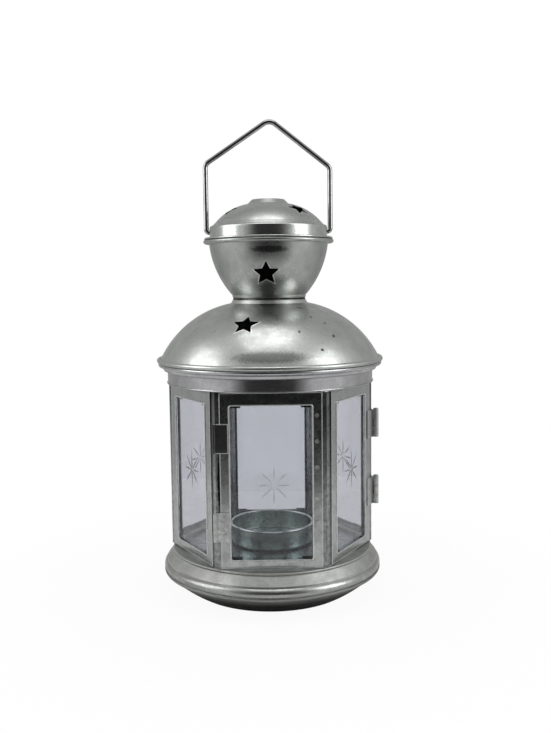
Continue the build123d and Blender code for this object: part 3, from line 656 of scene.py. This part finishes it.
def sheet_edge_tree():
    """A rolled or burred edge that follows a rectangle with rounded corners."""
    sizes = ("Left", "Right", "Low", "High", "Corner", "Edge")
    tree, recipe, given = new_tree("sheet_edge", sizes)
    left, right, low, high = given["Left"], given["Right"], given["Low"], given["High"]
    outline = recipe.put(
        "GeometryNodeCurvePrimitiveQuadrilateral",
        {"Width": recipe.minus(right, left), "Height": recipe.minus(high, low)},
    ).outputs[0]
    middle = recipe.point(
        X=recipe.times(recipe.plus(left, right), 0.5), Y=recipe.times(recipe.plus(low, high), 0.5)
    )
    outline = recipe.put(
        "GeometryNodeTransform", {"Geometry": outline, "Translation": middle}
    ).outputs[0]
    outline = recipe.put(
        "GeometryNodeFilletCurve",
        {"Curve": outline, "Radius": given["Corner"], "Count": 6},
        mode="POLY",
    ).outputs[0]
    section = recipe.put(
        "GeometryNodeCurvePrimitiveCircle", {"Resolution": 8, "Radius": given["Edge"]}
    ).outputs[0]
    rolled = recipe.put(
        "GeometryNodeCurveToMesh", {"Curve": outline, "Profile Curve": section}
    ).outputs[0]
    close_tree(recipe, given, rolled)
    return tree


def cut_star_tree():
    """Eight V-shaped cuts round a middle, each a leaf that is widest past its own middle."""
    sizes = ("Upright", "Level", "Slanting", "Hub", "Width", "Depth")
    tree, recipe, given = new_tree("cut_star", sizes)
    leaf = recipe.put(
        "GeometryNodeMeshGrid", {"Size X": 1.0, "Size Y": 1.0, "Vertices X": 3, "Vertices Y": 9}
    ).outputs[0]
    parts = recipe.parts(recipe.put("GeometryNodeInputPosition").outputs[0])
    along = recipe.plus(parts[1], 0.5)
    swell = recipe.math("SINE", recipe.times(recipe.math("POWER", along, 1.35), math.pi))
    across = recipe.times(parts[0], given["Width"])
    dip = recipe.minus(recipe.times(recipe.math("ABSOLUTE", parts[0]), 2.0), 1.0)
    drawn = recipe.point(
        X=recipe.times(across, swell),
        Y=along,
        Z=recipe.times(recipe.times(dip, swell), given["Depth"]),
    )
    leaf = recipe.put("GeometryNodeSetPosition", {"Geometry": leaf, "Position": drawn}).outputs[0]

    rays = recipe.put("GeometryNodePoints", {"Count": 8}).outputs[0]
    number = recipe.put("GeometryNodeInputIndex").outputs[0]
    slanting = recipe.math("MODULO", number, 2.0)
    level = recipe.math("COMPARE", recipe.math("MODULO", number, 4.0), 2.0)
    reach = recipe.blend(slanting, given["Upright"], given["Slanting"])
    reach = recipe.blend(level, reach, given["Level"])
    star = recipe.put(
        "GeometryNodeInstanceOnPoints",
        {
            "Points": rays,
            "Instance": leaf,
            "Rotation": recipe.point(Z=recipe.times(number, math.pi / 4)),
            "Scale": recipe.point(X=1.0, Y=recipe.minus(reach, given["Hub"]), Z=1.0),
        },
    ).outputs[0]
    star = recipe.put(
        "GeometryNodeTranslateInstances",
        {"Instances": star, "Translation": recipe.point(Y=given["Hub"]), "Local Space": True},
    ).outputs[0]
    close_tree(recipe, given, star)
    return tree


class LANTERN_OT_finish_turned_sheet(bpy.types.Operator):
    """Satin sheet on the roof, bowl and lid, smoother sheet on the bands, worn sheet on the base"""

    bl_idname = "lantern.finish_turned_sheet"
    bl_label = "Finish turned sheet"

    def execute(self, context):
        scene = context.scene
        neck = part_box("roof")[1].z
        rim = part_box("lid")[0].z
        band_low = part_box("top_band")[0].z
        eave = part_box("eave_ring")[0].z
        roof_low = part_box("roof")[0].z
        plinth_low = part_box("base_plinth")[0].z
        plinth_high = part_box("base_plinth")[1].z
        dome_seams = ((neck, 0.0009, 1.6), (rim, 0.0005, 1.2), (roof_low, 0.0006, 0.4))
        band = ((rim, rim + LID_BAND, 0.75),)
        for name, middle in DOME_MIDDLES.items():
            sheet = sheet_material(
                f"{name}_sheet", scene.lantern_dome, TURNED, dome_seams, (0.0, 0.0, middle),
                star=STARS[name], polish=band, marks_and_painted_light=MARKS_AND_PAINTED_LIGHT.get(name, ()),
                # Painted shade: the bowl is darker all over than the same sheet on the roof and lid
                shade=(rim, rim + 0.0001, 0.22) if name == "chimney_bowl" else None,
            )
            dress((name,), sheet)
        band_seams = ((eave, 0.0006, 0.7), (band_low, 0.0005, 0.6), (roof_low, 0.0006, 0.6))
        dress(BAND_NODES, sheet_material("band_sheet", scene.lantern_band, TURNED, band_seams))
        base_seams = ((plinth_low, 0.0008, 0.8), (plinth_high - 0.0012, 0.0004, 0.8))
        base = sheet_material(
            "base_sheet", scene.lantern_base, TURNED, base_seams,
            # Painted shade on the pan's underside, darkest at the bottom
            shade=(PAN_SHADE_HEIGHT, plinth_low + 0.001, 0.98),
            polish=((plinth_low, plinth_low + PLINTH_BEAD, 0.60),),
            marks_and_painted_light=MARKS_AND_PAINTED_LIGHT["base"],
        )
        dress(BASE_NODES, base)
        return {"FINISHED"}


class LANTERN_OT_finish_cabin(bpy.types.Operator):
    """Flat sheet on the frames, darker on the posts, brighter metal on clips, hinges and rivets"""

    bl_idname = "lantern.finish_cabin"
    bl_label = "Finish cabin"

    def execute(self, context):
        scene = context.scene
        low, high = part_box("door_frame_front")[0].z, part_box("door_frame_front")[1].z
        seams = ((low, 0.0008, 0.5), (high, 0.0012, 0.6))
        dress(FRAME_NODES, sheet_material("cabin_sheet", scene.lantern_cabin, ROLLED, seams))
        # Painted dark reflection on the front frame, darker towards the top
        shade = (high - 0.003, low + 0.015, 0.60)
        front = sheet_material("front_sheet", scene.lantern_cabin, ROLLED, seams, shade=shade)
        dress(("door_frame_front",), front)
        # Painted shade on the posts, darker towards the top
        shade = (high, low + (high - low) * 0.5, 0.75)
        post = sheet_material(
            "post_sheet", scene.lantern_post, ROLLED, seams, shade=shade, marks_and_painted_light=MARKS_AND_PAINTED_LIGHT["posts"]
        )
        dress(POST_NODES, post)
        # Painted shade on the upper clip, which is dark while the lower one stays light
        shade = (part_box("upper_clip")[0].z + 0.003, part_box("lower_clip")[1].z, 0.85)
        dress(CLIP_NODES, sheet_material("clip_sheet", scene.lantern_fitting, ROLLED, shade=shade))
        dress(FITTING_NODES, sheet_material("fitting_metal", scene.lantern_fitting, ROLLED))
        return {"FINISHED"}


class LANTERN_OT_finish_cup(bpy.types.Operator):
    """Darker, shinier metal on the tealight cup and the floor plate"""

    bl_idname = "lantern.finish_cup"
    bl_label = "Finish cup and floor"

    def execute(self, context):
        scene = context.scene
        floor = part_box("cup")[0].z
        seams = ((floor, 0.0008, 0.5),)
        cup = sheet_material("cup_sheet", scene.lantern_cup, TURNED, seams, marks_and_painted_light=MARKS_AND_PAINTED_LIGHT["cup"])
        dress(("cup",), cup)
        dress(("floor_plate",), sheet_material("floor_sheet", scene.lantern_floor, EVEN))
        return {"FINISHED"}


class LANTERN_OT_finish_bail(bpy.types.Operator):
    """Bright drawn wire on the bail"""

    bl_idname = "lantern.finish_bail"
    bl_label = "Finish bail"

    def execute(self, context):
        dress(("bail",), sheet_material("bail_wire", context.scene.lantern_wire, DRAWN))
        return {"FINISHED"}


class LANTERN_OT_fit_glass(bpy.types.Operator):
    """Tinted window glass in the six panes"""

    bl_idname = "lantern.fit_glass"
    bl_label = "Fit glass"

    def execute(self, context):
        dress(PANE_NODES, glass_material(context.scene.lantern_glass))
        return {"FINISHED"}


class LANTERN_OT_cut_stars(bpy.types.Operator):
    """A frosted eight-rayed star in the outer face of every pane but the rear one"""

    bl_idname = "lantern.cut_stars"
    bl_label = "Cut stars"

    def execute(self, context):
        glass, window = context.scene.lantern_glass, context.scene.lantern_window
        # Lit and shaded copies of the same frosted cut, as painted light
        front = cut_material("cut_glass_front", glass.front_cut_lit, glass.cut_cover)
        sides = cut_material("cut_glass_sides", glass.side_cut_shaded, glass.cut_cover)
        tree = cut_star_tree()
        values = {
            "Upright": glass.upright_ray,
            "Level": glass.level_ray,
            "Slanting": glass.slanting_ray,
            "Hub": glass.hub,
            "Width": glass.ray_width,
            "Depth": glass.cut_depth,
        }
        pane_face = -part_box("pane_door_front")[0].y
        middle = (window.low + window.high) / 2
        groups = (
            ("lantern", "sides", False, sides),
            ("door", "side", False, sides),
            ("door", "front", True, front),
        )
        for body, side, wide, material in groups:
            values["Material"] = material
            meshes = []
            for azimuth, rides_on, is_wide, place in WINDOWS.values():
                if place and (rides_on, is_wide) == (body, wide):
                    star = Matrix.Translation((place[0], middle + place[1], 0.0))
                    meshes.append(grown(tree, values, face_matrix(azimuth, pane_face) @ star))
            joined(f"cut_stars_{body}_{side}", meshes, material, body, smooth=False)
        return {"FINISHED"}


class LANTERN_OT_edge_windows(bpy.types.Operator):
    """A rolled edge round each opening and a burred edge round each frame and clip"""

    bl_idname = "lantern.edge_windows"
    bl_label = "Edge windows"

    def execute(self, context):
        window = context.scene.lantern_window
        material = sheet_material("worn_edge", context.scene.lantern_edge, EVEN)
        tree = sheet_edge_tree()
        edges = {"lantern": [], "door": []}

        def edge(body, azimuth, distance, sides, levels, corner, thickness):
            values = {
                "Left": sides[0],
                "Right": sides[1],
                "Low": levels[0],
                "High": levels[1],
                "Corner": corner,
                "Edge": thickness,
                "Material": material,
            }
            edges[body].append(grown(tree, values, face_matrix(azimuth, distance)))

        face = -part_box("door_frame_front")[0].y
        for name, (azimuth, body, wide, _) in WINDOWS.items():
            low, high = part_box(name)
            half = window.wide_half if wide else window.side_half
            levels = (window.low, window.high)
            edge(body, azimuth, face, (-half, half), levels, window.corner, window.edge)
            half = window.wide_frame if wide else window.side_frame
            levels = (low.z, high.z)
            distance = face - window.burr / 2
            edge(body, azimuth, distance, (-half, half), levels, window.burr, window.burr)
        for name in ("upper_clip", "lower_clip"):
            low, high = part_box(name)
            sides = (-window.wide_frame - window.clip_outer, window.clip_inner - window.wide_frame)
            distance = face + window.clip_sheet
            edge("door", -90, distance, sides, (low.z, high.z), window.burr, window.burr)
        for body, meshes in edges.items():
            joined(f"sheet_edges_{body}", meshes, material, body)
        return {"FINISHED"}


def camera_turn(stage):
    """The camera's rotation from yaw, pitch and roll."""
    ahead = Vector((
        math.sin(stage.yaw) * math.cos(stage.pitch),
        math.cos(stage.yaw) * math.cos(stage.pitch),
        -math.sin(stage.pitch),
    ))
    right = ahead.cross(Vector((0.0, 0.0, 1.0))).normalized()
    up = right.cross(ahead)
    cosine, sine = math.cos(stage.roll), math.sin(stage.roll)
    columns = (right * cosine + up * sine, up * cosine - right * sine, -ahead)
    return Matrix(columns).transposed().to_4x4()


def soft_lamp(name, place, size, watts):
    """A rectangular soft lamp that faces the lantern."""
    data = bpy.data.lights.new(name, "AREA")
    data.shape = "RECTANGLE"
    data.size, data.size_y = size
    data.energy = watts
    lamp = bpy.data.objects.new(name, data)
    lamp.location = place
    lamp.rotation_euler = (Vector(LAMP_AIM) - Vector(place)).to_track_quat("-Z", "Y").to_euler()
    bpy.context.scene.collection.objects.link(lamp)


def light_path(recipe):
    """The kinds of ray, and whether the camera sees by this one, straight or through glass."""
    path = recipe.put("ShaderNodeLightPath").outputs
    return path, recipe.larger(path["Is Camera Ray"], path["Is Transmission Ray"])


def room_light(stage):
    """White behind the object for the camera; for gloss a pale room, dark on the camera's side."""
    world = bpy.data.worlds.new("studio")
    world.use_nodes = True
    recipe = Recipe(world.node_tree)
    x, y, height = recipe.parts(recipe.put("ShaderNodeTexCoord").outputs["Generated"])
    level = recipe.vector("NORMALIZE", recipe.point(X=x, Y=y))
    facing = recipe.times(recipe.parts(level)[1], -1.0)
    lit = recipe.larger(recipe.span(facing, 0.66, 0.90, 1.0, 0.0), recipe.span(height, 0.66, 0.86))
    room = recipe.span(facing, -0.6, 0.1, stage.back, stage.sides)
    gloss = recipe.times(room, recipe.span(lit, 0.0, 1.0, CAMERA_SIDE, 1.0))
    path, seen = light_path(recipe)
    strength = recipe.blend(path["Is Glossy Ray"], stage.surround, gloss)
    strength = recipe.blend(seen, strength, 1.0)
    background = recipe.put(
        "ShaderNodeBackground", {"Color": (1.0, 1.0, 1.0, 1.0), "Strength": strength}
    )
    recipe.put("ShaderNodeOutputWorld", {"Surface": background.outputs[0]})
    bpy.context.scene.world = world


def floor_material(stage):
    """Pale table: the camera sees it white, apart from the object's soft shadow."""
    material = bpy.data.materials.new("pale_floor")
    material.use_nodes = True
    recipe = Recipe(material.node_tree)
    place = recipe.put("ShaderNodeTexCoord").outputs["Object"]
    near, far = stage.floor_radius * 0.2, stage.floor_radius * 0.7
    lift = recipe.span(recipe.norm(place), near, far, stage.floor_lift, 1.0)
    lift = recipe.times(lift, light_path(recipe)[1])
    matt = recipe.put("ShaderNodeBsdfDiffuse", {"Color": rgba(stage.floor)})
    white = recipe.put("ShaderNodeEmission", {"Strength": 1.0})
    mixed = recipe.put(
        "ShaderNodeMixShader", {0: lift, 1: matt.outputs[0], 2: white.outputs[0]}
    )
    recipe.put("ShaderNodeOutputMaterial", {"Surface": mixed.outputs[0]})
    return material


class LANTERN_OT_set_stage(bpy.types.Operator):
    """Camera at the photograph's angle, pale floor, white surroundings and soft lamps"""

    bl_idname = "lantern.set_stage"
    bl_label = "Set stage"

    def execute(self, context):
        stage = context.scene.lantern_stage
        data = bpy.data.cameras.new("camera")
        data.lens = stage.lens
        data.sensor_width = 36.0
        data.clip_start = 0.01
        camera = bpy.data.objects.new("camera", data)
        camera.matrix_world = (
            Matrix.Translation((0.0, -stage.distance, stage.height)) @ camera_turn(stage)
        )
        context.scene.collection.objects.link(camera)
        context.scene.camera = camera

        shape = bmesh.new()
        bmesh.ops.create_circle(shape, cap_ends=True, segments=96, radius=stage.floor_radius)
        mesh = bpy.data.meshes.new("floor")
        shape.to_mesh(mesh)
        shape.free()
        mesh.materials.append(floor_material(stage))
        floor = bpy.data.objects.new("floor", mesh)
        context.scene.collection.objects.link(floor)

        for name, (place, size, setting) in LAMPS.items():
            soft_lamp(name, place, size, getattr(stage, setting))
        room_light(stage)
        context.scene.view_settings.view_transform = "Standard"
        return {"FINISHED"}


class LANTERN_PT_panel(bpy.types.Panel):
    """Lists the lantern's steps in the 3D view's sidebar"""

    bl_idname = "LANTERN_PT_panel"
    bl_label = "Lantern"
    bl_space_type = "VIEW_3D"
    bl_region_type = "UI"
    bl_category = "Lantern"

    def draw(self, context):
        for step in STEPS:
            self.layout.operator(step.bl_idname)
        for key in (*FINISHES, "glass", "window", "stage"):
            box = self.layout.box()
            box.label(text=key.capitalize())
            settings = getattr(context.scene, f"lantern_{key}")
            for field in settings.__annotations__:
                box.prop(settings, field)


STEPS = (
    LANTERN_OT_finish_turned_sheet,
    LANTERN_OT_finish_cabin,
    LANTERN_OT_finish_cup,
    LANTERN_OT_finish_bail,
    LANTERN_OT_fit_glass,
    LANTERN_OT_cut_stars,
    LANTERN_OT_edge_windows,
    LANTERN_OT_set_stage,
)
SETTINGS = {
    **FINISHES,
    "glass": LanternGlassSettings,
    "window": LanternWindowSettings,
    "stage": LanternStageSettings,
}


def register():
    """Registers the classes and hangs the settings on the scene."""
    for kind in (*SETTINGS.values(), *STEPS, LANTERN_PT_panel):
        bpy.utils.register_class(kind)
    for key, kind in SETTINGS.items():
        setattr(bpy.types.Scene, f"lantern_{key}", PointerProperty(type=kind))


def unregister():
    """Takes the settings and classes off again."""
    for key in SETTINGS:
        delattr(bpy.types.Scene, f"lantern_{key}")
    for kind in reversed((*SETTINGS.values(), *STEPS, LANTERN_PT_panel)):
        bpy.utils.unregister_class(kind)


def main():
    """Runs every step in order and writes the boxes before and after."""
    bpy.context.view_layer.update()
    register()
    for step in STEPS:
        group, name = step.bl_idname.split(".")
        getattr(getattr(bpy.ops, group), name)()


if __name__ == "__main__":
    main()
